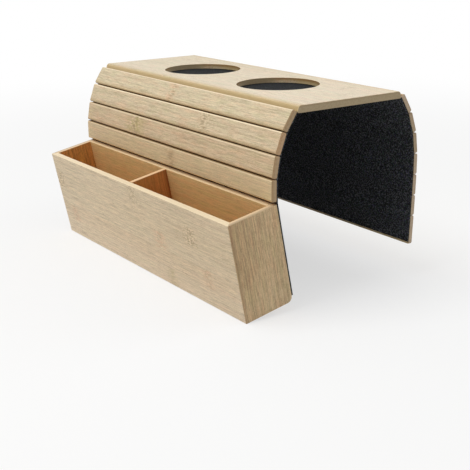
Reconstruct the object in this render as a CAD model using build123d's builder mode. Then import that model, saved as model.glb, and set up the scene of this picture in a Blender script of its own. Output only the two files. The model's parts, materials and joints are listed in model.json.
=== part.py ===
from build123d import *
import os
from math import cos, radians, sin, tan

# A tray that hangs over a sofa arm: a bamboo panel with two cup holes, bamboo slats that hang
# down on both sides of it on one sheet of felt, and a storage box at the end of the front slats.
# X runs along the sofa arm, Z is up and the box faces -Y. The origin is the middle of the felt's
# underside below the panel, where the tray rests on the arm. Lengths are in mm.

# Panel
tray_length = 400
panel_top_width = 137
panel_bottom_width = 141
panel_thickness = 6
panel_long_edge_rounding = 4
panel_end_edge_rounding = 0.8
panel_lip_width = 3
panel_lip_height = 1.8
cup_hole_diameter = 93.5
cup_hole_spacing = 153.5
cup_rim_rounding = 0.5

# Slats
slat_width = 23
last_slat_width = 32.5
slat_thickness = 5.5
slat_gap = 0.5
slat_edge_rounding = 2
slat_end_chamfer = 1.2

# Felt
felt_thickness = 2
felt_end_inset = 0.5
felt_lip_clearance = 0.2
felt_hem_inset = 3
felt_fold_clearance = 0.15

# Box
box_gap = 2.6
box_depth = 60.5
box_height = 109.5
box_wall_thickness = 7
box_bottom_thickness = 6
divider_thickness = 5.6
divider_offset = 4.1
box_top_rounding = 0.8
box_corner_rounding = 1.2
box_back_corner_rounding = 6
box_front_edge_rounding = 1

# The angle that the felt is bent by at rest at each hinge line, from the panel down, in degrees
front_bend_angles = (56.5, 13, 10.5, 9.5, 11.5)
rear_bend_angles = (58.5, 12.5, 11.5, 7, 2, 0.5, 0.5)

# The largest angle that the felt bends by at the panel and between slats, in degrees
panel_bend_angle_limit = 90
slat_bend_angle_limit = 25


class Drop:
    """One piece of a hanging side: its name, its place along the felt and its plane."""

    def __init__(self, name, is_front, hinge, angle, start, width, angle_limit):
        self.name = name
        self.sign = -1 if is_front else 1
        self.hinge = hinge
        self.angle = angle
        self.start = start
        self.end = start + width
        self.angle_limit = angle_limit

    def along(self):
        """The direction down the piece, away from its hinge line."""
        return (0, self.sign * cos(radians(self.angle)), -sin(radians(self.angle)))

    def section_plane(self):
        """Across the tray: sketch X runs down the piece and sketch Y points outwards."""
        return Plane(origin=self.hinge, x_dir=self.along(), z_dir=(self.sign, 0, 0))

    def plan_plane(self):
        """Looking down the piece: sketch X runs along the tray and sketch Y points outwards."""
        return Plane(origin=self.hinge, x_dir=(1, 0, 0), z_dir=self.along())

    def point_at(self, distance):
        """The point on the felt's glue line that lies this far down from the hinge line."""
        direction = self.along()
        return (0, self.hinge[1] + distance * direction[1], self.hinge[2] + distance * direction[2])


def hanging_side(is_front, names, bend_angles, widths, gaps):
    """Lays the pieces of one side along the felt, from the panel's edge down."""
    pieces = []
    first_hinge_y = panel_bottom_width / 2 + gaps[0] / 2
    hinge = (0, -first_hinge_y if is_front else first_hinge_y, felt_thickness)
    angle = 0
    for place, name in enumerate(names):
        angle += bend_angles[place]
        limit = panel_bend_angle_limit if place == 0 else slat_bend_angle_limit
        piece = Drop(name, is_front, hinge, angle, gaps[place] / 2, widths[place], limit)
        pieces.append(piece)
        if place + 1 < len(names):
            hinge = piece.point_at(piece.end + gaps[place + 1] / 2)
    return pieces


front_count = len(front_bend_angles) - 1
rear_count = len(rear_bend_angles)
front_names = [f"front_slat_{number + 1}" for number in range(front_count)] + ["box"]
rear_names = [f"rear_slat_{number + 1}" for number in range(rear_count)]
front_side = hanging_side(
    True,
    front_names,
    front_bend_angles,
    [slat_width] * front_count + [box_height],
    [slat_gap] * front_count + [box_gap],
)
rear_side = hanging_side(
    False,
    rear_names,
    rear_bend_angles,
    [slat_width] * (rear_count - 1) + [last_slat_width],
    [slat_gap] * rear_count,
)
box_place = front_side[-1]

os.makedirs("parts", exist_ok=True)


def save(piece, name):
    """Labels a finished piece and writes it."""
    piece.label = name
    export_step(piece, f"parts/{name}.step")


# Panel: one board whose long edges lean outwards to the slats, with two holes cut through it and
# a low lip under each end. The lip's ends lean back at the hinge lines, as the felt beside it does.
panel_top = felt_thickness + panel_thickness
lip_half_width = rear_side[0].hinge[1] - felt_fold_clearance
lip_lean = panel_lip_height * tan(radians(panel_bend_angle_limit / 2))
with BuildPart() as top_panel:
    with BuildSketch(Plane.YZ):
        with BuildLine():
            Polyline(
                (-panel_bottom_width / 2, felt_thickness),
                (panel_bottom_width / 2, felt_thickness),
                (panel_top_width / 2, panel_top),
                (-panel_top_width / 2, panel_top),
                close=True,
            )
        make_face()
    extrude(amount=tray_length / 2, both=True)
    top_edges = top_panel.faces().sort_by(Axis.Z)[-1].edges()
    fillet(top_edges.filter_by(Axis.X), radius=panel_long_edge_rounding)
    end_edges = top_panel.faces().sort_by(Axis.Z)[-1].edges().filter_by(Axis.Y)
    fillet(end_edges, radius=panel_end_edge_rounding)
    with Locations((-cup_hole_spacing / 2, 0, panel_top), (cup_hole_spacing / 2, 0, panel_top)):
        Hole(cup_hole_diameter / 2)
    rims = top_panel.faces().sort_by(Axis.Z)[-1].edges().filter_by(GeomType.CIRCLE)
    fillet(rims, radius=cup_rim_rounding)
    for direction in (-1, 1):
        with BuildSketch(Plane.YZ.offset(direction * tray_length / 2)):
            with BuildLine():
                Polyline(
                    (-lip_half_width, felt_thickness),
                    (lip_half_width, felt_thickness),
                    (lip_half_width - lip_lean, felt_thickness - panel_lip_height),
                    (lip_lean - lip_half_width, felt_thickness - panel_lip_height),
                    close=True,
                )
            make_face()
        extrude(amount=-direction * panel_lip_width)
save(top_panel.part, "top_panel")


# Slats: flat strips, rounded along their outer edges and eased at their ends
def make_slat(place):
    """Makes one slat on the felt's glue plane."""
    with BuildPart() as slat:
        with BuildSketch(place.section_plane()) as section:
            with Locations((place.start, 0)):
                Rectangle(place.end - place.start, slat_thickness, align=(Align.MIN, Align.MIN))
            fillet(section.vertices().group_by(Axis.Y)[-1], radius=slat_edge_rounding)
        extrude(amount=tray_length / 2, both=True)
        outer_face = slat.faces().sort_by(Axis(place.hinge, place.section_plane().y_dir))[-1]
        ends = outer_face.edges().sort_by(Axis.X)
        chamfer([ends[0], ends[-1]], length=slat_end_chamfer)
    return slat.part


for slat_place in front_side[:-1] + rear_side:
    save(make_slat(slat_place), slat_place.name)


# Felt: one sheet under the panel, where it lies between the lips, and behind every slat. It is cut
# into a length for each piece, and the cuts lean back so that the lengths meet only when a hinge
# line is bent to its limit.
def make_felt(plane, start, end, start_angle_limit, end_angle_limit, end_inset=felt_end_inset):
    """Makes the felt's length between two hinge lines, on the inner side of the glue plane."""
    start_lean = felt_thickness * tan(radians(start_angle_limit / 2))
    end_lean = felt_thickness * tan(radians(end_angle_limit / 2))
    with BuildPart() as felt:
        with BuildSketch(plane):
            with BuildLine():
                Polyline(
                    (start, 0),
                    (end, 0),
                    (end - end_lean, -felt_thickness),
                    (start + start_lean, -felt_thickness),
                    close=True,
                )
            make_face()
        extrude(amount=tray_length / 2 - end_inset, both=True)
    return felt.part


panel_hinge_y = rear_side[0].hinge[1]
panel_felt_plane = Plane(origin=(0, 0, felt_thickness), x_dir=(0, 1, 0), z_dir=(1, 0, 0))
panel_felt = make_felt(
    panel_felt_plane,
    felt_fold_clearance - panel_hinge_y,
    panel_hinge_y - felt_fold_clearance,
    panel_bend_angle_limit,
    panel_bend_angle_limit,
    panel_lip_width + felt_lip_clearance,
)
save(panel_felt, "felt_panel")

for side_places in (front_side, rear_side):
    for number, felt_place in enumerate(side_places):
        if number + 1 < len(side_places):
            next_place = side_places[number + 1]
            felt_end = felt_place.end + next_place.start - felt_fold_clearance
            end_angle_limit = next_place.angle_limit
        else:
            felt_end = felt_place.end - felt_hem_inset
            end_angle_limit = 0
        if felt_place is box_place:
            felt_end = felt_place.end - box_back_corner_rounding
        felt = make_felt(
            felt_place.section_plane(),
            felt_fold_clearance,
            felt_end,
            felt_place.angle_limit,
            end_angle_limit,
        )
        save(felt, "felt_" + felt_place.name.replace("_slat", ""))


# Box: front and ends meet in mitred corners, and the back board stands between the ends
box_plan = box_place.plan_plane().offset(box_place.start)
downwards = Axis(box_plan.origin, box_plan.z_dir)
outwards = Axis(box_plan.origin, box_plan.y_dir)
inner_length = tray_length - 2 * box_wall_thickness
inner_depth = box_depth - 2 * box_wall_thickness


def wall_outline(corners):
    """Draws the part of the box's walls, seen from above, that lies within the given corners."""
    with BuildSketch(box_plan) as outline:
        Rectangle(tray_length, box_depth, align=(Align.CENTER, Align.MIN))
        fillet(outline.vertices().group_by(Axis.Y)[-1], radius=box_corner_rounding)
        with Locations((0, box_wall_thickness)):
            Rectangle(inner_length, inner_depth, align=(Align.CENTER, Align.MIN), mode=Mode.SUBTRACT)
        with BuildLine():
            Polyline(*corners, close=True)
        make_face(mode=Mode.INTERSECT)
    return outline.sketch


with BuildPart() as box_front:
    add(
        wall_outline(
            [
                (-tray_length / 2, box_depth),
                (tray_length / 2, box_depth),
                (inner_length / 2, box_depth - box_wall_thickness),
                (-inner_length / 2, box_depth - box_wall_thickness),
            ]
        )
    )
    extrude(amount=box_height, dir=box_plan.z_dir)
    front_long_edges = box_front.edges().filter_by(Axis.X)
    fillet(front_long_edges.group_by(downwards)[0], radius=box_top_rounding)
    front_bottom_edges = box_front.edges().filter_by(Axis.X).group_by(downwards)[-1]
    fillet(front_bottom_edges.sort_by(outwards)[-1], radius=box_front_edge_rounding)
save(box_front.part, "box_front")


def make_box_end(direction):
    """Makes the end board on the +X or the -X side."""
    with BuildPart() as end:
        add(
            wall_outline(
                [
                    (direction * tray_length / 2, 0),
                    (direction * tray_length / 2, box_depth),
                    (direction * inner_length / 2, box_depth - box_wall_thickness),
                    (direction * inner_length / 2, 0),
                ]
            )
        )
        extrude(amount=box_height, dir=box_plan.z_dir)
        depth_edges = end.edges().filter_by(Axis(box_plan.origin, box_plan.y_dir))
        fillet(depth_edges.group_by(downwards)[0], radius=box_top_rounding)
        bottom_edges = end.edges().filter_by(Axis.X).group_by(downwards)[-1]
        fillet(bottom_edges.sort_by(outwards)[0], radius=box_back_corner_rounding)
    return end.part


save(make_box_end(1), "box_right_end")
save(make_box_end(-1), "box_left_end")

with BuildPart() as box_back:
    with BuildSketch(box_plan):
        Rectangle(inner_length, box_wall_thickness, align=(Align.CENTER, Align.MIN))
    extrude(amount=box_height)
    fillet(box_back.edges().filter_by(Axis.X).group_by(downwards)[0], radius=box_top_rounding)
    back_bottom_edges = box_back.edges().filter_by(Axis.X).group_by(downwards)[-1]
    fillet(back_bottom_edges.sort_by(outwards)[0], radius=box_back_corner_rounding)
save(box_back.part, "box_back")

with BuildPart() as box_bottom:
    with BuildSketch(box_plan.offset(box_height - box_bottom_thickness)):
        with Locations((0, box_wall_thickness)):
            Rectangle(inner_length, inner_depth, align=(Align.CENTER, Align.MIN))
    extrude(amount=box_bottom_thickness)
save(box_bottom.part, "box_bottom")

with BuildPart() as box_divider:
    with BuildSketch(box_plan):
        with Locations((-divider_offset, box_wall_thickness)):
            Rectangle(divider_thickness, inner_depth, align=(Align.CENTER, Align.MIN))
    extrude(amount=box_height - box_bottom_thickness)
    divider_edges = box_divider.edges().filter_by(Axis(box_plan.origin, box_plan.y_dir))
    fillet(divider_edges.group_by(downwards)[0], radius=box_top_rounding)
save(box_divider.part, "box_divider")
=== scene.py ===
import json
import math

import bpy
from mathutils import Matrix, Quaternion, Vector
from mathutils import noise as solid_noise

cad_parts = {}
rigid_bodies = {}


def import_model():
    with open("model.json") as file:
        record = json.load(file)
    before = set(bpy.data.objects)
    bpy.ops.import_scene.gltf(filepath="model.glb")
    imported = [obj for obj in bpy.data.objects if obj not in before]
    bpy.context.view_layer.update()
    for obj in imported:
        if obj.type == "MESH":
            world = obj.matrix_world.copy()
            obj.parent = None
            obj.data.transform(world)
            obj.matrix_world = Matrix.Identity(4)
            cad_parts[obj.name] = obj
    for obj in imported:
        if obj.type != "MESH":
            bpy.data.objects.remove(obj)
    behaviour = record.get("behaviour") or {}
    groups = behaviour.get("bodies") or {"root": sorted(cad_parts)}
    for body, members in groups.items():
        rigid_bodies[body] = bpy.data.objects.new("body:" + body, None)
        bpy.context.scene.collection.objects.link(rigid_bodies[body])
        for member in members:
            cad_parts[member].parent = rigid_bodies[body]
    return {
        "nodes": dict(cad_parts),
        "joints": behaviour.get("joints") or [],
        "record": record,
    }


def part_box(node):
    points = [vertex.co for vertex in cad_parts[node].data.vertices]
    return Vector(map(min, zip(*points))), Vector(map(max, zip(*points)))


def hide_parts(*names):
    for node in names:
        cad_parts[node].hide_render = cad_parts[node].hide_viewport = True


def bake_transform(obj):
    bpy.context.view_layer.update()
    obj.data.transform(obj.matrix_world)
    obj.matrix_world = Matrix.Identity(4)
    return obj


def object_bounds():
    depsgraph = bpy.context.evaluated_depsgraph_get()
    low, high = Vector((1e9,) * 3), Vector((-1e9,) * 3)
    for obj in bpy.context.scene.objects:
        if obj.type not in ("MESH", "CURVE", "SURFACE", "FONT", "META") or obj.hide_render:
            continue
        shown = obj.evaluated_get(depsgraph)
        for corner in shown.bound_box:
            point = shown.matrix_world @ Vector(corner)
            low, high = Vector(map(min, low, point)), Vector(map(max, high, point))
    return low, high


# The looks of a sofa arm tray: bamboo boards and slats on one sheet of dark felt. Lengths are in
# metres, except where a name ends in mm. X runs along the tray, Z is up, the box faces -Y.
# Tones are screen levels from 0 to 255. Shades multiply a tone's red, green and blue light.
# A name that ends in levels says where a noise starts and ends to show, and one that ends in
# facing does so for how squarely a spot faces a way, from 0 for edge-on to 1.

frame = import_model()
cad_low, cad_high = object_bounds()
scene = bpy.context.scene
scene.view_settings.view_transform = "Standard"
mm = 0.001

# Camera: the photograph's viewing angle, worked out from the tray's own corners
photo_size = 470
focal_length_pixels = 962.26
sensor_width_mm = 36
camera_azimuth = math.radians(55.139)
camera_elevation = math.radians(17.659)
camera_roll = math.radians(-0.675)
camera_place = Vector((0.93219, -0.65705, 0.17369))

# Light
sky_strength = 0.5
key_direction = Vector((-0.05, -0.27, 0.5))
key_distance = 2.2
key_size = 1.5
key_level = 0.57
fill_direction = Vector((0.35, 0.8, 0.45))
fill_distance = 2.4
fill_size = 1.8
fill_level = 0.18

# Floor
floor_half_width = 9
floor_tone = (246, 246, 245)
floor_fade_start = 0.45
floor_fade_end = 1.6
floor_camera_share = 0.6

# Felt's shape
felt_fold_reach = 2.5 * mm
felt_step = 3 * mm
felt_fold_steps = 8
felt_column_step = 4 * mm
felt_ripple = 0.15 * mm
felt_broad_ripple_length = 14 * mm
felt_fine_ripple_length = 5 * mm
felt_sag = 0.8 * mm
felt_sharp_angle = math.radians(50)

# Felt's fibres: lengths of strands, lumps and flecks
strand_bend_lump_mm = 3
strand_bend = 5
long_strand_mm = (2.4, 0.6)
long_strand_levels = (0.5, 0.7)
cross_strand_mm = (0.6, 2)
cross_strand_levels = (0.52, 0.72)
clump_mm = 4
clump_levels = (0.4, 0.62)
clump_shade = (0.45, 0.47, 0.5)
felt_speck_mm = 1.5
pale_speck_levels = (0.52, 0.62)
pale_speck_tone = (101, 102, 106)
dark_speck_levels = (0.46, 0.38)
dark_speck_tone = (8, 8, 8)
fleck_mm = 1.6
fleck_levels = (0.56, 0.68)
violet_fleck_tone = (66, 62, 92)
green_fleck_tone = (44, 68, 55)
felt_tones = ((17, 17, 16), (84, 81, 78))
# The felt under the panel, seen in the cup holes, is a darker copy: painted shade
cup_felt_painted_shade_tones = ((14, 15, 15), (56, 57, 56))
# The felt's glued face shows only in the gaps between boards; its brown is painted warm shade
glued_felt_gap_shade_tones = ((58, 30, 4), (96, 56, 14))
# Painted shadow on the felt next to the cup holes' walls
hole_edge_reach_mm = (9, 3)
hole_edge_painted_shadow = (0.1, 0.1, 0.1)

# Bamboo's streaks: length and width
patch_mm = (70, 11)
blush_mm = (24, 5)
broad_streak_mm = (90, 2)
fine_streak_mm = (18, 0.75)
hair_streak_mm = (6, 0.45)
speck_mm = (1.3, 0.6)
waver_lump_mm = (60, 20)
streak_waver_mm = 1.2

# Bamboo's fibres: the levels between which they show, and their share, pale and dark
broad_pale, broad_dark = (0.52, 0.38, 0.3), (0.5, 0.66, 0.3)
fine_pale, fine_dark = (0.52, 0.36, 0.5), (0.5, 0.64, 0.45)
speck_pale, speck_dark = (0.5, 0.36, 0.5), (0.52, 0.64, 0.35)
hair_dark = (0.52, 0.64, 0.5)
pale_fibre_shade = (1.34, 1.32, 1.28)
dark_fibre_shade = (0.58, 0.53, 0.45)
pink_patch_levels = (0.5, 0.7)
pink_patch_shade = (1.02, 0.95, 0.92)
green_patch_levels = (0.5, 0.3)
green_patch_shade = (0.94, 0.96, 0.91)
pink_blush_levels = (0.5, 0.64)
pink_blush_shade = (1.04, 0.96, 0.94)
green_blush_levels = (0.48, 0.36)
green_blush_shade = (0.95, 0.99, 0.92)

# Bamboo's strips and knuckles
strip_tint_share = 0.6
strip_joint_mm = 0.6
strip_joint_share = 0.45
strip_joint_shade = (0.86, 0.8, 0.7)
yellow_strip_shade = (0.95, 0.92, 0.86)
pink_strip_shade = (1.0, 0.95, 0.93)
knuckle_gap_mm = 310
knuckle_wander_mm = 12
wander_lump_mm = 9
tick_row_mm = 3
tick_row_fade = (0.46, 0.2)
tick_step_mm = 9
tick_levels = (0.2, 0.45)
tick_shade = (0.36, 0.28, 0.18)
smudge_lump_mm = (9, 3.5)
smudge_levels = (0.4, 0.54)
grit_mm = (3.6, 1.6)
dark_grit_levels = (0.51, 0.57)
dark_grit_shade = (0.55, 0.46, 0.33)
pale_grit_levels = (0.47, 0.41)
pale_grit_shade = (1.3, 1.25, 1.18)

# Bamboo's edges: how far in from an edge or a face each shade starts and ends; all but the fibre
# shades are painted shade, shadow or highlight
end_facing = (0.3, 0.6)
rim_facing = (0.3, 0.8)
side_facing = (0.45, 0.9)
outer_facing = (0.7, 0.95)
downward_facing = (-0.1, -0.8)
inner_face_mm = (1.5, 0.5)
lit_foot_mm = 62
lower_edge_mm = (4.6, 3)
lower_edge_painted_shade = (0.9, 0.85, 0.76)
painted_shadow_above = (0.4, 0.26, 0.1)
# Painted shade in the gaps between slats, towards the felt
gap_shade_depth_mm = (1.8, 3.6)
gap_painted_shade = (0.38, 0.21, 0.06)
painted_highlight_tone = (255, 236, 202)
side_fibre_shade = (0.8, 0.74, 0.62)
corner_painted_shade_mm = 45
corner_line_mm = (5, 1.5)
corner_line_painted_shade = (0.84, 0.83, 0.82)
back_painted_shade_mm = (6, 0.5)
rim_outer_mm = (5, 1)
rim_fibre_shade = (0.86, 0.8, 0.7)
panel_edge_mm = (14, 2)
panel_edge_painted_shade = (0.89, 0.82, 0.66)

# Cup holes: a painted highlight on the rim, and painted shade on the wall, browner at the top
hole_level_facing = (0.2, 0.6)
hole_rim_mm = (0.5, 1)
hole_rim_painted_highlight = (1.12, 1.12, 1.1)
hole_wall_painted_shade = (0.9, 0.86, 0.8)
hole_top_mm = (5, 1)
hole_top_painted_shade = (0.56, 0.4, 0.22)

# Cut ends
pore_mm = 0.7
pore_length = 6
pore_levels = (0.35, 0.05)
pore_shade = (0.6, 0.54, 0.44)
end_lump_mm = (3, 2.2, 1.2)
end_lump_levels = (0.4, 0.65)
end_lump_shade = (0.84, 0.8, 0.72)
end_outer_mm = (3.2, 0.8)
end_outer_shade = (0.84, 0.79, 0.7)


def linear(level):
    """A screen level from 0 to 255 as light."""
    share = level / 255
    return share / 12.92 if share <= 0.04045 else ((share + 0.055) / 1.055) ** 2.4


def paint(red, green, blue):
    """A colour from its three screen levels."""
    return (linear(red), linear(green), linear(blue), 1)


def scaled(colour, red, green, blue):
    """A colour with each part of its light multiplied."""
    return (colour[0] * red, colour[1] * green, colour[2] * blue, 1)


class Value:
    """A socket of a node tree. Sums and products of it add Math nodes."""

    def __init__(self, tree, socket):
        self.tree = tree
        self.socket = socket

    def __add__(self, other):
        return self.tree.math("ADD", self, other)

    def __sub__(self, other):
        return self.tree.math("SUBTRACT", self, other)

    def __mul__(self, other):
        return self.tree.math("MULTIPLY", self, other)

    def __truediv__(self, other):
        return self.tree.math("DIVIDE", self, other)

    def __radd__(self, other):
        return self.tree.math("ADD", other, self)

    def __rsub__(self, other):
        return self.tree.math("SUBTRACT", other, self)

    def __rmul__(self, other):
        return self.tree.math("MULTIPLY", other, self)

    def __abs__(self):
        return self.tree.math("ABSOLUTE", self)


class Tree:
    """The nodes of one material or of the world."""

    def __init__(self, owner):
        owner.use_nodes = True
        self.nodes = owner.node_tree.nodes
        self.links = owner.node_tree.links
        self.nodes.clear()

    def node(self, kind, settings, sockets, output=0):
        """Adds a node: its settings first, then the values or links of its sockets."""
        made = self.nodes.new(kind)
        for setting, value in settings.items():
            setattr(made, setting, value)
        for socket, value in sockets.items():
            if isinstance(value, Value):
                self.links.new(value.socket, made.inputs[socket])
            else:
                made.inputs[socket].default_value = value
        return Value(self, made.outputs[output]) if made.outputs else None

    def math(self, operation, first, second=0):
        """A Math node on one or two numbers."""
        return self.node("ShaderNodeMath", {"operation": operation}, {0: first, 1: second})

    def vector_math(self, operation, first, second, output="Vector"):
        """A Vector Math node on two vectors."""
        sockets = {0: first, 1: second}
        return self.node("ShaderNodeVectorMath", {"operation": operation}, sockets, output)

    def dot(self, vector, direction):
        """How far a vector reaches along a direction."""
        return self.vector_math("DOT_PRODUCT", vector, direction, "Value")

    def length(self, vector):
        """How long a vector is."""
        return self.node("ShaderNodeVectorMath", {"operation": "LENGTH"}, {0: vector}, "Value")

    def flat_distance(self, place, centre):
        """How far a place is from an upright line through a centre."""
        offset = self.vector_math("SUBTRACT", place, centre)
        return self.length(self.vector_math("MULTIPLY", offset, (1, 1, 0)))

    def point(self, x, y, z):
        """A vector from three values."""
        return self.node("ShaderNodeCombineXYZ", {}, {"X": x, "Y": y, "Z": z})

    def noise(self, point, detail=2, roughness=0.5):
        """Soft noise around 0.5 whose lumps are about one unit wide."""
        sockets = {"Vector": point, "Scale": 1, "Detail": detail, "Roughness": roughness}
        return self.node("ShaderNodeTexNoise", {}, sockets)

    def random(self, value):
        """A random number from 0 to 1 that stays the same for each value."""
        return self.node("ShaderNodeTexWhiteNoise", {"noise_dimensions": "1D"}, {"W": value})

    def between(self, value, low, high):
        """Goes smoothly from 0 at low to 1 at high."""
        settings = {"interpolation_type": "SMOOTHSTEP"}
        sockets = {"Value": value, "From Min": low, "From Max": high}
        return self.node("ShaderNodeMapRange", settings, sockets)

    def hump(self, distance, width):
        """1 where the distance is 0, falling smoothly to 0 at a width to either side."""
        return 1 - self.between(abs(distance), 0, width)

    def mix(self, share, first, second):
        """The first colour where the share is 0 and the second where it is 1."""
        sockets = {0: share, 6: first, 7: second}
        return self.node("ShaderNodeMix", {"data_type": "RGBA", "clamp_factor": True}, sockets, 2)

    def tint(self, share, colour, shade):
        """Multiplies a colour by a shade, by a share."""
        settings = {"data_type": "RGBA", "blend_type": "MULTIPLY", "clamp_factor": True}
        return self.node("ShaderNodeMix", settings, {0: share, 6: colour, 7: (*shade, 1)}, 2)


def make_camera():
    """Places the camera at the photograph's viewing angle."""
    data = bpy.data.cameras.new("camera")
    data.sensor_width = sensor_width_mm
    data.lens = focal_length_pixels / photo_size * sensor_width_mm
    camera = bpy.data.objects.new("camera", data)
    level = math.cos(camera_elevation)
    back = Vector((
        math.sin(camera_azimuth) * level,
        -math.cos(camera_azimuth) * level,
        math.sin(camera_elevation),
    ))
    roll = Quaternion((0, 0, 1), camera_roll)
    camera.location = camera_place
    camera.rotation_mode = "QUATERNION"
    camera.rotation_quaternion = (-back).to_track_quat("-Z", "Y") @ roll
    scene.collection.objects.link(camera)
    scene.camera = camera


def make_lamp(name, direction, distance, size, level):
    """A square soft lamp that shines at the tray; a level of 1 shows a facing colour as written."""
    data = bpy.data.lights.new(name, "AREA")
    data.size = size
    data.energy = math.pi * distance * distance * level * math.pi
    lamp = bpy.data.objects.new(name, data)
    towards = direction.normalized()
    lamp.location = towards * distance
    lamp.rotation_mode = "QUATERNION"
    lamp.rotation_quaternion = towards.to_track_quat("Z", "Y")
    scene.collection.objects.link(lamp)


def make_world():
    """A plain sky that lights softly and shows white behind the tray."""
    world = bpy.data.worlds.new("studio")
    scene.world = world
    tree = Tree(world)
    seen = tree.node("ShaderNodeLightPath", {}, {}, "Is Camera Ray")
    mirrored = tree.node("ShaderNodeLightPath", {}, {}, "Is Glossy Ray")
    through = tree.node("ShaderNodeLightPath", {}, {}, "Is Transmission Ray")
    white = seen + mirrored + through
    strength = sky_strength + white * (1 - sky_strength)
    sky = tree.node("ShaderNodeBackground", {}, {"Color": (1, 1, 1, 1), "Strength": strength})
    tree.node("ShaderNodeOutputWorld", {}, {"Surface": sky})


def make_floor():
    """A pale level floor under the tray's lowest edge, which turns plain white further out."""
    mesh = bpy.data.meshes.new("floor")
    reach = floor_half_width
    corners = [(-reach, -reach, 0), (reach, -reach, 0), (reach, reach, 0), (-reach, reach, 0)]
    mesh.from_pydata(corners, [], [(0, 1, 2, 3)])
    floor = bpy.data.objects.new("floor", mesh)
    floor.location = (0, 0, cad_low.z)
    scene.collection.objects.link(floor)
    material = bpy.data.materials.new("pale_floor")
    mesh.materials.append(material)
    tree = Tree(material)
    distance = tree.length(tree.node("ShaderNodeTexCoord", {}, {}, "Object"))
    far = tree.between(distance, floor_fade_start, floor_fade_end)
    seen = tree.node("ShaderNodeLightPath", {}, {}, "Is Camera Ray")
    matt = tree.node("ShaderNodeBsdfDiffuse", {}, {"Color": paint(*floor_tone)})
    white = tree.node("ShaderNodeEmission", {}, {"Color": (1, 1, 1, 1), "Strength": 1})
    share = seen * (floor_camera_share + (1 - floor_camera_share) * far)
    surface = tree.node("ShaderNodeMixShader", {}, {0: share, 1: matt, 2: white})
    tree.node("ShaderNodeOutputMaterial", {}, {"Surface": surface})


class Board:
    """A board's directions along its grain, across it, in from its outer face and down."""

    def __init__(self, node, grain, across, down):
        corners = [vertex.co for vertex in node.data.vertices]
        middle = sum(corners, Vector()) / len(corners)
        inwards = grain.cross(across)
        if (middle - tray_heart).dot(inwards) > 0:
            inwards = -inwards
        self.down = down
        self.bottom_mm = max(corner.dot(down) for corner in corners) / mm
        self.directions = (grain, across, inwards)
        self.starts = [min(corner.dot(way) for corner in corners) for way in self.directions]
        ends = [max(corner.dot(way) for corner in corners) for way in self.directions]
        self.width_mm = (ends[1] - self.starts[1]) / mm
        self.thickness_mm = (ends[2] - self.starts[2]) / mm
        self.half_length_mm = (ends[0] - self.starts[0]) / mm / 2


class Knuckle:
    """A stem joint: its place from the tray's middle, and how its ticks, grit and smudge show."""

    def __init__(
        self,
        middle_mm,
        ticks=0.6,
        tick_mm=5,
        grit=0.3,
        smudge=0.5,
        smudge_mm=15,
        tone=(0.9, 0.84, 0.72),
    ):
        self.middle_mm = middle_mm
        self.ticks = ticks
        self.tick_mm = tick_mm
        self.grit = grit
        self.smudge = smudge
        self.smudge_mm = smudge_mm
        self.tone = tone


class Look:
    """How a board looks.

    Tones: outer and inner faces, foot of the outer face, rim or top edge, long sides, cut ends. The
    inner tone of the box's boards is painted warm bounced light and shade, and a lighter foot is
    painted light. Shades, all painted light and shade: towards the grain's start, the far corner,
    the back edge and the downward edge. Shares: the painted shade on the rim's outer part, the
    downward edge and the lower edge line, the painted highlight on the upper edge, the painted
    shadow on the side above it, streaks, blushes and gloss. The painted highlight faces upwards by
    arris, and cut ends start where a spot faces along the grain by end_start.
    """

    def __init__(
        self,
        outer,
        inner=None,
        foot=None,
        rim=None,
        sides=None,
        ends=(168, 145, 112),
        start_painted_shading=None,
        corner_painted_shade=None,
        back_painted_shade=None,
        downward_painted_shading=(0.35, 0.2, 0.06),
        rim_outer_shading_share=1,
        under=None,
        lower=1,
        painted_highlight=0.9,
        above=0,
        contrast=0.85,
        blush=0.7,
        gloss=0.12,
        arris=0.55,
        end_start=0.45,
    ):
        self.outer = outer
        self.inner = inner or outer
        self.foot = foot or outer
        self.rim = rim
        self.sides = sides
        self.ends = ends
        self.start_painted_shading = start_painted_shading
        self.corner_painted_shade = corner_painted_shade
        self.back_painted_shade = back_painted_shade
        self.downward_painted_shading = downward_painted_shading
        self.rim_outer_shading_share = rim_outer_shading_share
        self.under = under
        self.lower = lower
        self.painted_highlight = painted_highlight
        self.above = above
        self.contrast = contrast
        self.blush = blush
        self.gloss = gloss
        self.arris = arris
        self.end_start = end_start


def widest_face(node):
    """The direction that the node's widest flat face along the tray looks in."""
    areas = {}
    for polygon in node.data.polygons:
        if abs(polygon.normal.x) < 0.5:
            facing = tuple(round(part, 3) for part in polygon.normal)
            areas[facing] = areas.get(facing, 0) + polygon.area
    return Vector(max(areas, key=areas.get)).normalized()


def down_direction(node):
    """The direction down the widest face of a hanging board."""
    down = along_tray.cross(widest_face(node))
    return -down if down.z > 0 else down


def board_of(name, node):
    """A node's board. Its grain runs along the tray, or down it where it stands upright."""
    box_face = widest_face(nodes["box_front"])
    box_down = down_direction(nodes["box_front"])
    if name == "top_panel":
        return Board(node, along_tray, Vector((0, 1, 0)), Vector((0, 0, -1)))
    if name == "box_bottom":
        return Board(node, along_tray, box_face, box_down)
    if name in upright_boards:
        return Board(node, box_down, box_face, box_down)
    down = down_direction(node)
    return Board(node, along_tray, down, down)


def streaks(tree, place, size_mm, shift):
    """Noise drawn out along the grain, in streaks of the given length and width."""
    along, across, depth = place
    length_mm, width_mm = size_mm
    return tree.noise(tree.point(along / length_mm + shift, across / width_mm, depth / width_mm))


def lumps(tree, place, size_mm, shift):
    """Noise in lumps of the given length and width, away from the streaks' noise."""
    along, across, depth = place
    length_mm, width_mm = size_mm
    return tree.noise(tree.point(along / length_mm, across / width_mm, depth / width_mm + shift))


def shown(tree, streak, fibre):
    """How much a streak's pale or dark fibres show."""
    start, end, share = fibre
    return tree.between(streak, start, end) * share


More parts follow.
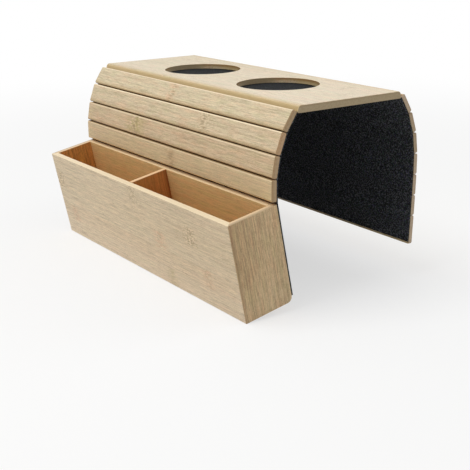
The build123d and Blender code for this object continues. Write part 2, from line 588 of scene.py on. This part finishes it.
class Spot:
    """A spot on a board: where it lies in mm, which way it faces, and its fibres there."""

    def __init__(self, tree, board, seed):
        self.point = tree.node("ShaderNodeTexCoord", {}, {}, "Object")
        normal = tree.node("ShaderNodeTexCoord", {}, {}, "Normal")
        self.along, self.across, self.depth = [
            (tree.dot(self.point, way) - start) / mm
            for way, start in zip(board.directions, board.starts)
        ]
        self.end_on, self.side_on, self.face_on = [
            abs(tree.dot(normal, way)) for way in board.directions
        ]
        self.upwards = tree.dot(normal, -board.down)
        self.off_end = 1 - tree.between(self.end_on, *end_facing)
        self.on_rim = tree.between(self.upwards, *rim_facing)
        inner_start, inner_end = inner_face_mm
        self.inner = tree.between(
            self.depth, board.thickness_mm - inner_start, board.thickness_mm - inner_end
        )
        # Painted light: the mask for a lighter foot tone over the lowest part of the outer face
        height_down = tree.dot(self.point, board.down) / mm
        self.low = tree.between(height_down, board.bottom_mm - lit_foot_mm, board.bottom_mm)

        length_mm, width_mm = waver_lump_mm
        waver_point = tree.point(
            self.along / length_mm + seed, self.across / width_mm, self.depth / width_mm
        )
        waver = (tree.noise(waver_point, 1) - 0.5) * streak_waver_mm
        self.place = (self.along, self.across + waver, self.depth)
        self.broad = streaks(tree, self.place, broad_streak_mm, seed)
        self.fine = streaks(tree, self.place, fine_streak_mm, seed * 2)
        self.hair = streaks(tree, self.place, hair_streak_mm, seed * 3)
        self.speck = streaks(tree, self.place, speck_mm, seed * 4)
        self.patch = streaks(tree, self.place, patch_mm, seed * 5)
        self.blush = streaks(tree, self.place, blush_mm, seed * 6)
        self.pale_fibre = (
            shown(tree, self.broad, broad_pale)
            + shown(tree, self.fine, fine_pale)
            + shown(tree, self.speck, speck_pale)
        )
        self.dark_fibre = (
            shown(tree, self.broad, broad_dark)
            + shown(tree, self.fine, fine_dark)
            + shown(tree, self.hair, hair_dark)
            + shown(tree, self.speck, speck_dark)
        )


def fibres(tree, spot, look):
    """The tones of a board's faces, with pale and dark fibres, patches and blushes."""
    colour = tree.mix(spot.low, paint(*look.outer), paint(*look.foot))
    # On the box's boards the inner tone is painted warm bounced light and shade
    colour = tree.mix(spot.inner, colour, paint(*look.inner))
    colour = tree.tint(spot.pale_fibre * look.contrast, colour, pale_fibre_shade)
    colour = tree.tint(spot.dark_fibre * look.contrast, colour, dark_fibre_shade)
    for streak, levels, shade in (
        (spot.patch, pink_patch_levels, pink_patch_shade),
        (spot.patch, green_patch_levels, green_patch_shade),
        (spot.blush, pink_blush_levels, pink_blush_shade),
        (spot.blush, green_blush_levels, green_blush_shade),
    ):
        colour = tree.tint(tree.between(streak, *levels) * look.blush, colour, shade)
    return colour


def add_knuckle(tree, colour, ground, distance, place, seed, knuckle):
    """A ring where the stem had a joint: ticks, grit and a smudge, broken from fibre to fibre."""
    along, across, depth = place
    row = tree.math("FLOOR", (across + depth) / tick_row_mm)
    in_row = abs(tree.math("FRACT", (across + depth) / tick_row_mm) - 0.5)
    step = tree.random(row + seed)
    strength = tree.random(row + seed * 2)
    wander = tree.noise(tree.point(across / wander_lump_mm, depth / wander_lump_mm, seed)) - 0.5
    from_ring = distance + wander * knuckle_wander_mm
    from_tick = from_ring + (step - 0.5) * tick_step_mm
    tick = tree.hump(from_tick, knuckle.tick_mm) * tree.between(in_row, *tick_row_fade)
    blot = lumps(tree, place, smudge_lump_mm, seed)
    grit = lumps(tree, place, grit_mm, seed)
    band = tree.hump(from_ring, knuckle.smudge_mm)
    smudge = band * tree.between(blot, *smudge_levels) * knuckle.smudge
    dark_grit = band * tree.between(grit, *dark_grit_levels) * knuckle.grit
    pale_grit = band * tree.between(grit, *pale_grit_levels) * knuckle.grit
    colour = tree.mix(smudge, colour, scaled(ground, *knuckle.tone))
    colour = tree.mix(dark_grit, colour, scaled(ground, *dark_grit_shade))
    colour = tree.mix(pale_grit, colour, scaled(ground, *pale_grit_shade))
    shown = tick * tree.between(strength, *tick_levels) * knuckle.ticks
    return tree.mix(shown, colour, scaled(ground, *tick_shade))


def add_strips(tree, colour, ground, place, board, knuckles, seed):
    """The strips that a board is glued from, each with its own tint and its own knuckle."""
    along, across, depth = place
    strip_width_mm = board.width_mm / len(knuckles)
    strip = tree.math("FLOOR", across / strip_width_mm)
    yellow = tree.random(strip + seed) * strip_tint_share
    colour = tree.tint(yellow, colour, yellow_strip_shade)
    pink = tree.random(strip + seed * 3) * strip_tint_share
    colour = tree.tint(pink, colour, pink_strip_shade)
    for number, knuckle in enumerate(knuckles):
        sockets = {0: strip, 1: number, 2: 0.5}
        is_strip = tree.node("ShaderNodeMath", {"operation": "COMPARE"}, sockets)
        from_start = board.half_length_mm + knuckle.middle_mm
        turn = tree.math("FRACT", (along - from_start) / knuckle_gap_mm + 0.5)
        distance = (turn - 0.5) * knuckle_gap_mm
        marked = add_knuckle(tree, colour, ground, distance, place, seed + number, knuckle)
        colour = tree.mix(is_strip, colour, marked)
    if len(knuckles) > 1:
        from_joint = tree.math("FRACT", across / strip_width_mm) * strip_width_mm
        joint = 1 - tree.between(from_joint, 0, strip_joint_mm)
        colour = tree.tint(joint * strip_joint_share, colour, strip_joint_shade)
    return colour


def add_slat_edges(tree, colour, spot, board, look):
    """Edges of a slat: painted shade near its lower edge and on the edge that faces down (painted
    light there on the lowest front slat), painted shadow above the upper edge, painted shade
    towards the felt, and a painted highlight on the upper edge.
    """
    side = tree.between(spot.side_on, *side_facing) * spot.off_end
    if look.sides:
        side_grain = tree.tint(spot.dark_fibre * 0.7, paint(*look.sides), side_fibre_shade)
        colour = tree.mix(side, colour, side_grain)
    if look.under is None:
        return colour
    # Painted shade a few mm up from the slat's lower edge
    lower_start, lower_end = lower_edge_mm
    lower = tree.between(spot.across, board.width_mm - lower_start, board.width_mm - lower_end)
    colour = tree.tint(lower * look.lower, colour, lower_edge_painted_shade)
    # Painted shade on the edge that faces down, away from the light
    downward = tree.between(spot.upwards, *downward_facing)
    colour = tree.tint(downward * look.under, colour, look.downward_painted_shading)
    # Painted shadow from the slat above, on the side just above the upper edge
    above = side * tree.between(spot.upwards, look.arris - 0.1, look.arris + 0.3)
    colour = tree.tint(above * look.above, colour, painted_shadow_above)
    # Painted shade in the gap: side faces turn dark brown towards the felt
    colour = tree.tint(side * tree.between(spot.depth, *gap_shade_depth_mm), colour, gap_painted_shade)
    # Painted highlight on the upper rounded edge, where it faces upwards
    painted_highlight = tree.hump(spot.upwards - look.arris, 0.5) * spot.off_end * (1 - spot.inner)
    painted_highlight = painted_highlight * look.painted_highlight * (0.8 + 0.2 * tree.between(spot.fine, 0.4, 0.6))
    return tree.mix(painted_highlight, colour, paint(*painted_highlight_tone))


def add_box_edges(tree, colour, spot, board, look):
    """Edges of the box's boards: painted shade towards the far corner with a painted dark line at
    it, painted shade along the back edge, and a pale rim whose outer part can be painted shade.
    """
    # Painted shade towards the far corner, and a painted dark line right at the corner
    if look.corner_painted_shade:
        width_mm = board.width_mm
        corner = tree.between(spot.across, width_mm - corner_painted_shade_mm, width_mm)
        corner = corner * (1 - spot.low * 0.5) * (1 - spot.inner)
        colour = tree.tint(corner, colour, look.corner_painted_shade)
        line_start, line_end = corner_line_mm
        line = tree.between(spot.across, width_mm - line_start, width_mm - line_end)
        side_out = tree.between(spot.face_on, *outer_facing) * (1 - spot.inner)
        colour = tree.tint(line * side_out, colour, corner_line_painted_shade)
    # Painted shade in the inner corner along the back edge
    if look.back_painted_shade:
        colour = tree.tint(tree.between(spot.across, *back_painted_shade_mm), colour, look.back_painted_shade)
    if look.rim:
        rim_grain = tree.tint(spot.dark_fibre * 0.35, paint(*look.rim), rim_fibre_shade)
        # The rim's outer part can be painted shade
        shade = (look.rim_outer_shading_share,) * 3
        rim_grain = tree.tint(tree.between(spot.depth, *rim_outer_mm), rim_grain, shade)
        colour = tree.mix(spot.on_rim, colour, rim_grain)
    return colour


def add_cup_holes(tree, colour, ground, spot, board):
    """Painted shade towards the long edges, and cup holes with a painted highlight on the rim and
    painted shade on the walls, browner at the top.
    """
    # Painted shade: the top panel darker towards its long edges
    from_edge = tree.math("MINIMUM", spot.across, board.width_mm - spot.across)
    colour = tree.tint(tree.between(from_edge, *panel_edge_mm), colour, panel_edge_painted_shade)
    for centre, radius in cup_holes:
        from_wall = (tree.flat_distance(spot.point, centre) - radius) / mm
        # A painted highlight on the rim, and painted shade on the wall, browner towards the top
        near = 1 - tree.between(from_wall, *hole_rim_mm)
        wall = near * (1 - tree.between(spot.face_on, *hole_level_facing))
        colour = tree.mix(near * (1 - wall) * 0.6, colour, scaled(ground, *hole_rim_painted_highlight))
        colour = tree.tint(wall, colour, hole_wall_painted_shade)
        top = wall * tree.between(spot.depth, *hole_top_mm)
        colour = tree.tint(top, colour, hole_top_painted_shade)
    return colour


def bamboo(name, board, look, seed, knuckles, has_cup_holes):
    """Lacquered bamboo in strips, one for each knuckle, with fibres, cut ends, and painted light,
    shade and highlights at its edges.
    """
    material = bpy.data.materials.new(name)
    tree = Tree(material)
    spot = Spot(tree, board, seed)
    ground = paint(*look.outer)
    colour = fibres(tree, spot, look)
    # Painted light and shade: the board turns lighter or darker towards the start of its grain
    if look.start_painted_shading:
        to_start = tree.between(spot.along, 2 * board.half_length_mm, 0)
        colour = tree.tint(to_start, colour, look.start_painted_shading)
    if knuckles:
        colour = add_strips(tree, colour, ground, spot.place, board, knuckles, seed)
    colour = add_slat_edges(tree, colour, spot, board, look)
    colour = add_box_edges(tree, colour, spot, board, look)
    if has_cup_holes:
        colour = add_cup_holes(tree, colour, ground, spot, board)

    # Cut ends
    pore_point = tree.point(spot.along / pore_length, spot.across, spot.depth)
    pore_sockets = {"Vector": pore_point, "Scale": 1 / pore_mm}
    pores = tree.node("ShaderNodeTexVoronoi", {}, pore_sockets, "Distance")
    length_mm, width_mm, depth_mm = end_lump_mm
    lump_point = tree.point(
        spot.along / length_mm, spot.across / width_mm + seed, spot.depth / depth_mm
    )
    lump = tree.noise(lump_point, 3)
    cut = tree.tint(tree.between(pores, *pore_levels) * 0.7, paint(*look.ends), pore_shade)
    cut = tree.tint(tree.between(lump, *end_lump_levels) * 0.7, cut, end_lump_shade)
    cut = tree.tint(tree.between(spot.depth, *end_outer_mm) * 0.8, cut, end_outer_shade)
    is_end = tree.between(spot.end_on, look.end_start, look.end_start + 0.25)
    if look.rim:
        is_end = is_end * (1 - spot.on_rim)
    colour = tree.mix(is_end, colour, cut)

    roughness = 0.42 + 0.14 * spot.fine + 0.25 * is_end
    height = 0.5 * spot.fine + 0.3 * spot.broad + 0.4 * spot.hair + 0.5 * is_end * pores
    relief_sockets = {"Strength": 0.3, "Distance": 0.05 * mm, "Height": height}
    relief = tree.node("ShaderNodeBump", {}, relief_sockets)
    surface = tree.node(
        "ShaderNodeBsdfPrincipled",
        {},
        {
            "Base Color": colour,
            "Roughness": roughness,
            "Normal": relief,
            "Coat Weight": look.gloss,
            "Coat Roughness": 0.3,
        },
    )
    tree.node("ShaderNodeOutputMaterial", {}, {"Surface": surface})
    return material


def felt_wool(name, tones, fleck_share, speck_share):
    """Needled felt: dark and pale tangled fibres, specks, and a few violet and green flecks."""
    dark, pale = tones
    material = bpy.data.materials.new(name)
    tree = Tree(material)
    place = tree.node("ShaderNodeTexCoord", {}, {}, "Object")
    x, y, z = [tree.dot(place, way) / mm for way in ((1, 0, 0), (0, 1, 0), (0, 0, 1))]

    def wool_noise(size_mm, shift, detail):
        return tree.noise(tree.point(x / size_mm + shift, y / size_mm, z / size_mm), detail)

    bend = wool_noise(strand_bend_lump_mm, 0, 2) * strand_bend
    length_mm, width_mm = long_strand_mm
    long_point = tree.point(x / length_mm + bend, y / width_mm, z / width_mm)
    long_ways = tree.noise(long_point, 3, 0.7)
    width_mm, length_mm = cross_strand_mm
    cross_point = tree.point(x / width_mm, y / length_mm + bend, z / length_mm + bend)
    cross_ways = tree.noise(cross_point, 3, 0.7)
    clump = wool_noise(clump_mm, 0, 3)
    strand = tree.math(
        "MAXIMUM",
        tree.between(long_ways, *long_strand_levels),
        tree.between(cross_ways, *cross_strand_levels),
    )
    colour = tree.mix(strand, paint(*dark), paint(*pale))
    colour = tree.tint(tree.between(clump, *clump_levels), colour, clump_shade)
    grain = wool_noise(felt_speck_mm, 80, 1)
    pale_speck = tree.between(grain, *pale_speck_levels) * speck_share
    colour = tree.mix(pale_speck, colour, paint(*pale_speck_tone))
    dark_speck = tree.between(grain, *dark_speck_levels) * speck_share
    colour = tree.mix(dark_speck, colour, paint(*dark_speck_tone))
    for tone, shift in ((violet_fleck_tone, 0), (green_fleck_tone, 40)):
        fleck = wool_noise(fleck_mm, shift, 1)
        colour = tree.mix(tree.between(fleck, *fleck_levels) * fleck_share, colour, paint(*tone))
    # Painted shadow on the felt at the foot of each cup hole's wall
    for centre, radius in cup_holes:
        from_wall = abs(tree.flat_distance(place, centre) - radius) / mm
        hole_edge = tree.between(from_wall, *hole_edge_reach_mm) * tree.between(z, 0, 1)
        colour = tree.tint(hole_edge, colour, hole_edge_painted_shadow)
    height = 0.6 * long_ways + 0.6 * cross_ways + 0.3 * clump
    relief_sockets = {"Strength": 0.8, "Distance": 0.5 * mm, "Height": height}
    relief = tree.node("ShaderNodeBump", {}, relief_sockets)
    surface = tree.node(
        "ShaderNodeBsdfPrincipled",
        {},
        {
            "Base Color": colour,
            "Roughness": 0.88 + 0.1 * clump,
            "Normal": relief,
            "Sheen Weight": 0.04,
            "Sheen Roughness": 0.5,
            "Specular IOR Level": 0.08,
        },
    )
    tree.node("ShaderNodeOutputMaterial", {}, {"Surface": surface})
    return material


def felt_path(start, hinge, end, turn_side):
    """Points along the felt's glued face round a hinge line, each with its inward way and side."""
    before = (hinge - start).normalized()
    after = (end - hinge).normalized()

    def inward(direction):
        return Vector((0, -direction.z, direction.y)) * turn_side

    angle = before.angle(after)
    fold_start = hinge - before * felt_fold_reach
    fold_end = hinge + after * felt_fold_reach
    radius = felt_fold_reach / math.tan(angle / 2)
    steps = math.ceil((fold_start - start).length / felt_step)
    path = [(start.lerp(fold_start, step / steps), inward(before), 0) for step in range(steps)]
    for step in range(felt_fold_steps + 1):
        turned = angle * step / felt_fold_steps
        arc = before * math.sin(turned) + inward(before) * (1 - math.cos(turned))
        direction = before * math.cos(turned) + inward(before) * math.sin(turned)
        is_after = int(2 * step > felt_fold_steps)
        path.append((fold_start + arc * radius, inward(direction), is_after))
    steps = math.ceil((end - fold_end).length / felt_step)
    for step in range(steps):
        path.append((fold_end.lerp(end, (step + 1) / steps), inward(after), 1))
    return path


def sag_at(point):
    """How far the felt dips under a cup hole."""
    sag = 0
    for centre, radius in cup_holes:
        distance = math.hypot(point.x - centre.x, point.y - centre.y)
        sag += felt_sag * max(0, 1 - (distance / radius) ** 2)
    return sag


def ripple_at(point):
    """How much thicker or thinner the felt is at a point."""
    broad = solid_noise.noise(point / felt_broad_ripple_length)
    fine = solid_noise.noise(point / felt_fine_ripple_length)
    return (broad + 0.5 * fine) * felt_ripple


def make_felt(name, path, half_lengths, thickness, hangs):
    """A strip of felt with a glued face, an open face with slight ripples and square cut edges."""
    columns = math.ceil(2 * max(half_lengths) / felt_column_step)
    rows = len(path)
    points = []
    for is_open in (False, True):
        for place, inward, side in path:
            for column in range(columns + 1):
                point = place + along_tray * (half_lengths[side] * (2 * column / columns - 1))
                if not hangs:
                    point = point - Vector((0, 0, sag_at(point)))
                if is_open:
                    point = point + inward * (thickness + ripple_at(point))
                points.append(point)

    def corner(is_open, row, column):
        return (rows * is_open + row) * (columns + 1) + column

    faces = []
    slots = {}
    for row in range(rows - 1):
        for column in range(columns):
            slots[len(faces)] = glued_slot if hangs or path[row][2] else cup_slot
            square = [(row, column), (row, column + 1), (row + 1, column + 1), (row + 1, column)]
            faces.append([corner(False, *place) for place in square])
            faces.append([corner(True, *place) for place in reversed(square)])
    rim = [(0, column) for column in range(columns)] + [(row, columns) for row in range(rows - 1)]
    rim += [(rows - 1, column) for column in range(columns, 0, -1)]
    rim += [(row, 0) for row in range(rows - 1, 0, -1)]
    for first, second in zip(rim, rim[1:] + rim[:1]):
        edge = [corner(False, *second), corner(False, *first)]
        faces.append(edge + [corner(True, *first), corner(True, *second)])
    mesh = bpy.data.meshes.new(name)
    mesh.from_pydata(points, [], faces)
    for face, slot in slots.items():
        mesh.polygons[face].material_index = slot
    mesh.shade_smooth()
    mesh.set_sharp_from_angle(angle=felt_sharp_angle)
    piece = bpy.data.objects.new(name, mesh)
    scene.collection.objects.link(piece)
    return piece


along_tray = Vector((1, 0, 0))
tray_heart = Vector((0, 0, -0.05))
nodes = frame["nodes"]
bodies = frame["record"]["behaviour"]["bodies"]
cup_holes = [
    (Vector(mount["pos_m"]), mount["dims"]["r_mm"] * mm)
    for mount in frame["record"]["mounts"]
    if mount["kind"] == "bore"
]

make_camera()
make_world()
make_lamp("key", key_direction, key_distance, key_size, key_level)
make_lamp("fill", fill_direction, fill_distance, fill_size, fill_level)
make_floor()

# Bamboo: the look of each board, and the knuckle of each of its strips
upright_boards = ("box_left_end", "box_right_end", "box_divider")
# Inside the box the tones are painted warm bounced light and shade: warmer on the back, the bottom
# and the front's inner face, darker on the ends
inside_painted_light_tone = (234, 202, 145)
inside_end_painted_shade_tone = (206, 146, 80)
side_tone = (206, 184, 146)
end_board_look = Look(
    (192, 167, 129),
    inner=inside_end_painted_shade_tone,
    foot=(199, 176, 140),
    rim=(232, 203, 162),
    rim_outer_shading_share=0.62,
    corner_painted_shade=(0.85, 0.81, 0.75),
    contrast=1.2,
)
rear_slat_look = Look((210, 192, 158), sides=side_tone, under=0.5, ends=(181, 161, 137))
dark_rear_slat_look = Look((210, 192, 158), sides=side_tone, under=0.5, ends=(168, 148, 121))
looks = {
    "top_panel": Look(
        (221, 207, 180),
        sides=(208, 188, 145),
        ends=(163, 145, 113),
        end_start=0.74,
        start_painted_shading=(0.92, 0.92, 0.88),
        contrast=0.75,
        gloss=0.3,
    ),
    "box_front": Look(
        (209, 191, 161),
        inner=inside_painted_light_tone,
        foot=(217, 201, 177),
        rim=(242, 222, 186),
        start_painted_shading=(1.06, 1.07, 1.08),
        contrast=0.8,
        blush=0.25,
    ),
    "box_back": Look(inside_painted_light_tone, rim=(234, 206, 164), contrast=0.55),
    "box_left_end": end_board_look,
    "box_right_end": end_board_look,
    "box_bottom": Look(inside_painted_light_tone),
    # The divider's dark red-brown tone is painted shade with warm bounced light
    "box_divider": Look(
        (196, 134, 74),
        rim=(240, 202, 156),
        back_painted_shade=(0.62, 0.5, 0.4),
        contrast=0.6,
    ),
    # The front slats' tones grow darker and warmer towards the box: painted shade and warm bounced
    # light
    "front_slat_1": Look(
        (210, 195, 164),
        sides=side_tone,
        under=0.1,
        ends=(168, 143, 110),
        end_start=0.36,
    ),
    "front_slat_2": Look(
        (208, 191, 161),
        sides=side_tone,
        under=0.3,
        painted_highlight=1,
        ends=(186, 153, 117),
    ),
    "front_slat_3": Look(
        (204, 183, 150),
        sides=side_tone,
        under=0.7,
        painted_highlight=0.5,
        arris=0.5,
        above=0.3,
        ends=(175, 148, 114),
    ),
    "front_slat_4": Look(
        (202, 178, 135),
        sides=side_tone,
        under=1,
        # Painted light on the edge that faces down, instead of painted shade
        downward_painted_shading=(1.45, 1.35, 1.2),
        lower=0,
        painted_highlight=0.45,
        arris=0.3,
        above=0.8,
        ends=(174, 148, 114),
    ),
    "rear_slat_2": dark_rear_slat_look,
    "rear_slat_3": dark_rear_slat_look,
}
pinkish = (1.08, 0.85, 0.76)
greenish = (0.76, 0.76, 0.48)
brownish = (0.74, 0.56, 0.4)
panel_knuckles_mm = (-60, 95, 20, -130, 150, -15)
board_knuckles = {
    "top_panel": [Knuckle(middle, ticks=0.3, smudge=0.3) for middle in panel_knuckles_mm],
    "front_slat_1": [Knuckle(-18, ticks=0.5, smudge=0.8, tone=pinkish)],
    "front_slat_2": [Knuckle(66, ticks=0.5, grit=0.5, smudge_mm=18)],
    "front_slat_3": [Knuckle(-76, ticks=0.5, grit=0.4, smudge=1, smudge_mm=30, tone=greenish)],
    "front_slat_4": [Knuckle(8, tick_mm=9, smudge=0.7, tone=brownish)],
    "box_front": [
        Knuckle(8, ticks=0.3, grit=0.5, smudge=0.3, smudge_mm=20),
        Knuckle(120, ticks=0.2, grit=0.8, smudge=0.2, smudge_mm=20),
        Knuckle(52, ticks=0.2, smudge=0.7, smudge_mm=20, tone=pinkish),
        Knuckle(142, ticks=0.2, smudge=0.6, tone=pinkish),
        Knuckle(64, ticks=0.2, smudge=0.4, tone=greenish),
    ],
    "box_back": [Knuckle(-4)],
    "box_left_end": [],
    "box_right_end": [],
    "box_divider": [],
}
seed_step = 3.7
other_knuckle_step_mm = 67
other_knuckle_reach_mm = 260
for number, (name, node) in enumerate(sorted(nodes.items())):
    if name.startswith("felt"):
        continue
    board = board_of(name, node)
    other_mm = number * other_knuckle_step_mm % other_knuckle_reach_mm
    knuckles = board_knuckles.get(name, [Knuckle(other_mm - other_knuckle_reach_mm / 2)])
    look = looks.get(name, rear_slat_look)
    seed = number * seed_step
    material = bamboo("bamboo_" + name, board, look, seed, knuckles, name == "top_panel")
    node.material_slots[0].material = material

# Felt: one strip for each hinge line, from the middle of one board to the middle of the next
glued_slot, cup_slot = 1, 2
felt_materials = (
    felt_wool("felt_wool", felt_tones, 0.7, 0.8),
    # Brown glued face, seen in the gaps: painted warm shade
    felt_wool("felt_glued_face", glued_felt_gap_shade_tones, 0, 0),
    # Darker felt under the panel: painted shade
    felt_wool("felt_in_cup_holes", cup_felt_painted_shade_tones, 0.4, 0),
)
felt_low, felt_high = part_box("felt_panel")
felt_thickness = felt_high.z - felt_low.z
joints = frame["joints"]
hinges = {joint["child"]: Vector(joint["pos_m"]) for joint in joints}
followers = {joint["parent"]: joint["child"] for joint in joints if joint["parent"] != "panel"}
for joint in joints:
    parent, child = joint["parent"], joint["child"]
    hinge = hinges[child]
    turn_side = 1 if hinge.y < 0 else -1
    half_lengths = [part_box("felt_" + body)[1].x for body in (parent, child)]
    if parent == "panel":
        start = Vector((0, 0, hinge.z))
    else:
        start = (hinges[parent] + hinge) / 2
    if child in followers:
        end = (hinge + hinges[followers[child]]) / 2
    else:
        rigid = [name for name in bodies[child] if not name.startswith("felt")][0]
        down = down_direction(nodes[rigid])
        felt_corners = [vertex.co for vertex in nodes["felt_" + child].data.vertices]
        end = hinge + down * max((corner - hinge).dot(down) for corner in felt_corners)
    path = felt_path(start, hinge, end, turn_side)
    hangs = parent != "panel"
    piece = make_felt("felt_fold_" + child, path, half_lengths, felt_thickness, hangs)
    for material in felt_materials:
        piece.data.materials.append(material)
    hinge + (end - hinge).normalized() * felt_fold_reach
    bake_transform(piece)
    replaced = ["felt_" + child] + ([] if hangs else ["felt_panel"])
    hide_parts(*replaced)
    steps = [
        (half_lengths[later[2]], (later[0] - earlier[0]).length)
        for earlier, later in zip(path, path[1:])
    ]
